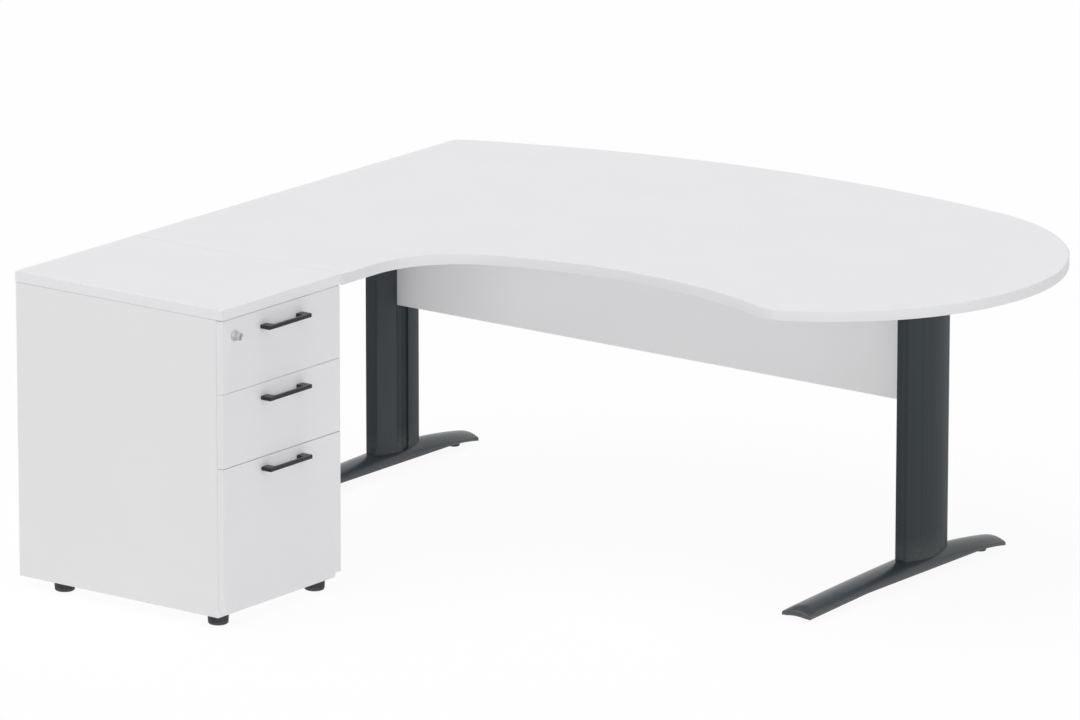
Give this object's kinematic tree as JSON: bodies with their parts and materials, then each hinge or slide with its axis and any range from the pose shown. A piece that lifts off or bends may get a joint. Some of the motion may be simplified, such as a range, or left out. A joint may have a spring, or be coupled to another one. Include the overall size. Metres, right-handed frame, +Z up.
{
  "type": "desk",
  "caption": "Left-hand office desk: crescent worktop with a round end on two column legs with arched feet, modesty panel, and a return tied to a lockable drawer pedestal",
  "frame": {"origin": "on the floor under the middle of the desk's bounding box", "axes": "+X towards the round end, the way the drawers open; +Y towards the back edge; +Z up"},
  "size_m": [1.8799, 1.819, 0.73],
  "materials": {
    "worktop_laminate": "matt white melamine on chipboard",
    "panel_laminate": "matt white melamine on chipboard",
    "front_laminate": "matt white melamine on chipboard",
    "edging": "matt white edging band",
    "cast_aluminium": "dark grey powder coat, satin",
    "column_aluminium": "dark grey powder coat, satin",
    "cover_plastic": "dark grey, matt",
    "arm_steel": "dark powder coat",
    "glide_plastic": "moulded dark grey",
    "handle_zinc": "charcoal, satin",
    "lock_metal": "satin nickel",
    "zinc_steel": "zinc plated"
  },
  "bodies": {
    "desk": {"desk_top": "worktop_laminate", "desk_top_edging": "edging", "pedestal_top": "worktop_laminate", "pedestal_near_side": "panel_laminate", "pedestal_far_side": "panel_laminate", "pedestal_back": "panel_laminate", "pedestal_base": "panel_laminate", "pedestal_rail": "panel_laminate", "modesty_panel": "panel_laminate", "return_angle": "zinc_steel", "left_column": "column_aluminium", "right_column": "column_aluminium", "left_cable_cover": "cover_plastic", "right_cable_cover": "cover_plastic", "left_channel_strip": "column_aluminium", "right_channel_strip": "column_aluminium", "left_foot": "cast_aluminium", "right_foot": "cast_aluminium", "left_top_arm": "arm_steel", "right_top_arm": "arm_steel", "top_near_carcass_runner": "zinc_steel", "top_far_carcass_runner": "zinc_steel", "middle_near_carcass_runner": "zinc_steel", "middle_far_carcass_runner": "zinc_steel", "filing_near_carcass_runner": "zinc_steel", "filing_far_carcass_runner": "zinc_steel", "lower_bar_guide": "zinc_steel", "upper_bar_guide": "zinc_steel"},
    "top_drawer": {"top_drawer_front": "front_laminate", "top_drawer_box": "zinc_steel", "top_lock_stud": "zinc_steel", "top_drawer_handle": "handle_zinc", "top_near_drawer_runner": "zinc_steel", "top_far_drawer_runner": "zinc_steel", "lock_housing": "lock_metal"},
    "middle_drawer": {"middle_drawer_front": "front_laminate", "middle_drawer_box": "zinc_steel", "middle_lock_stud": "zinc_steel", "middle_drawer_handle": "handle_zinc", "middle_near_drawer_runner": "zinc_steel", "middle_far_drawer_runner": "zinc_steel"},
    "filing_drawer": {"filing_drawer_front": "front_laminate", "filing_drawer_box": "zinc_steel", "filing_lock_stud": "zinc_steel", "filing_drawer_handle": "handle_zinc", "filing_near_drawer_runner": "zinc_steel", "filing_far_drawer_runner": "zinc_steel"},
    "filing_middle_runners": {"filing_near_middle_runner": "zinc_steel", "filing_far_middle_runner": "zinc_steel"},
    "lock": {"lock_barrel": "lock_metal", "lock_cam": "zinc_steel"},
    "lock_bar": {"locking_bar": "zinc_steel"},
    "left_foot_front_leveller": {"left_foot_front_glide": "glide_plastic"},
    "left_foot_rear_leveller": {"left_foot_rear_glide": "glide_plastic"},
    "right_foot_front_leveller": {"right_foot_front_glide": "glide_plastic"},
    "right_foot_rear_leveller": {"right_foot_rear_glide": "glide_plastic"},
    "pedestal_front_near_leveller": {"pedestal_front_near_glide": "glide_plastic"},
    "pedestal_front_far_leveller": {"pedestal_front_far_glide": "glide_plastic"},
    "pedestal_rear_near_leveller": {"pedestal_rear_near_glide": "glide_plastic"},
    "pedestal_rear_far_leveller": {"pedestal_rear_far_glide": "glide_plastic"}
  },
  "joints": [
    {"name": "top_drawer_slide", "type": "slide", "parent": "desk", "child": "top_drawer", "axis": [1, 0, 0], "range_m": [0, 0.375]},
    {"name": "middle_drawer_slide", "type": "slide", "parent": "desk", "child": "middle_drawer", "axis": [1, 0, 0], "range_m": [0, 0.375]},
    {"name": "filing_drawer_slide", "type": "slide", "parent": "desk", "child": "filing_drawer", "axis": [1, 0, 0], "range_m": [0, 0.45]},
    {"name": "filing_middle_slide", "type": "slide", "parent": "desk", "child": "filing_middle_runners", "axis": [1, 0, 0], "range_m": [0, 0.225]},
    {"name": "lock_turn", "type": "hinge", "parent": "top_drawer", "child": "lock", "pos_m": [-0.3487, -0.8655, 0.6642], "axis": [-1, 0, 0], "range_deg": [0, 90]},
    {"name": "locking_bar_lift", "type": "slide", "parent": "desk", "child": "lock_bar", "axis": [0, 0, 1], "range_m": [0, 0.01697]},
    {"name": "left_foot_front_glide_turn", "type": "hinge", "parent": "desk", "child": "left_foot_front_leveller", "pos_m": [-0.899, -0.0345, 0], "axis": [0, 0, 1], "continuous": true},
    {"name": "left_foot_rear_glide_turn", "type": "hinge", "parent": "desk", "child": "left_foot_rear_leveller", "pos_m": [-0.899, 0.639, 0], "axis": [0, 0, 1], "continuous": true},
    {"name": "right_foot_front_glide_turn", "type": "hinge", "parent": "desk", "child": "right_foot_front_leveller", "pos_m": [0.614, -0.0345, 0], "axis": [0, 0, 1], "continuous": true},
    {"name": "right_foot_rear_glide_turn", "type": "hinge", "parent": "desk", "child": "right_foot_rear_leveller", "pos_m": [0.614, 0.639, 0], "axis": [0, 0, 1], "continuous": true},
    {"name": "pedestal_front_near_glide_turn", "type": "hinge", "parent": "desk", "child": "pedestal_front_near_leveller", "pos_m": [-0.396, -0.872, 0], "axis": [0, 0, 1], "continuous": true},
    {"name": "pedestal_front_far_glide_turn", "type": "hinge", "parent": "desk", "child": "pedestal_front_far_leveller", "pos_m": [-0.396, -0.529, 0], "axis": [0, 0, 1], "continuous": true},
    {"name": "pedestal_rear_near_glide_turn", "type": "hinge", "parent": "desk", "child": "pedestal_rear_near_leveller", "pos_m": [-0.8385, -0.872, 0], "axis": [0, 0, 1], "continuous": true},
    {"name": "pedestal_rear_far_glide_turn", "type": "hinge", "parent": "desk", "child": "pedestal_rear_far_leveller", "pos_m": [-0.8385, -0.529, 0], "axis": [0, 0, 1], "continuous": true}
  ],
  "couplings": [
    {"joint": "filing_middle_slide", "follows": "filing_drawer_slide", "ratio": 0.5},
    {"joint": "lock_turn", "follows": "locking_bar_lift", "rad_per_m": 92.56}
  ]
}
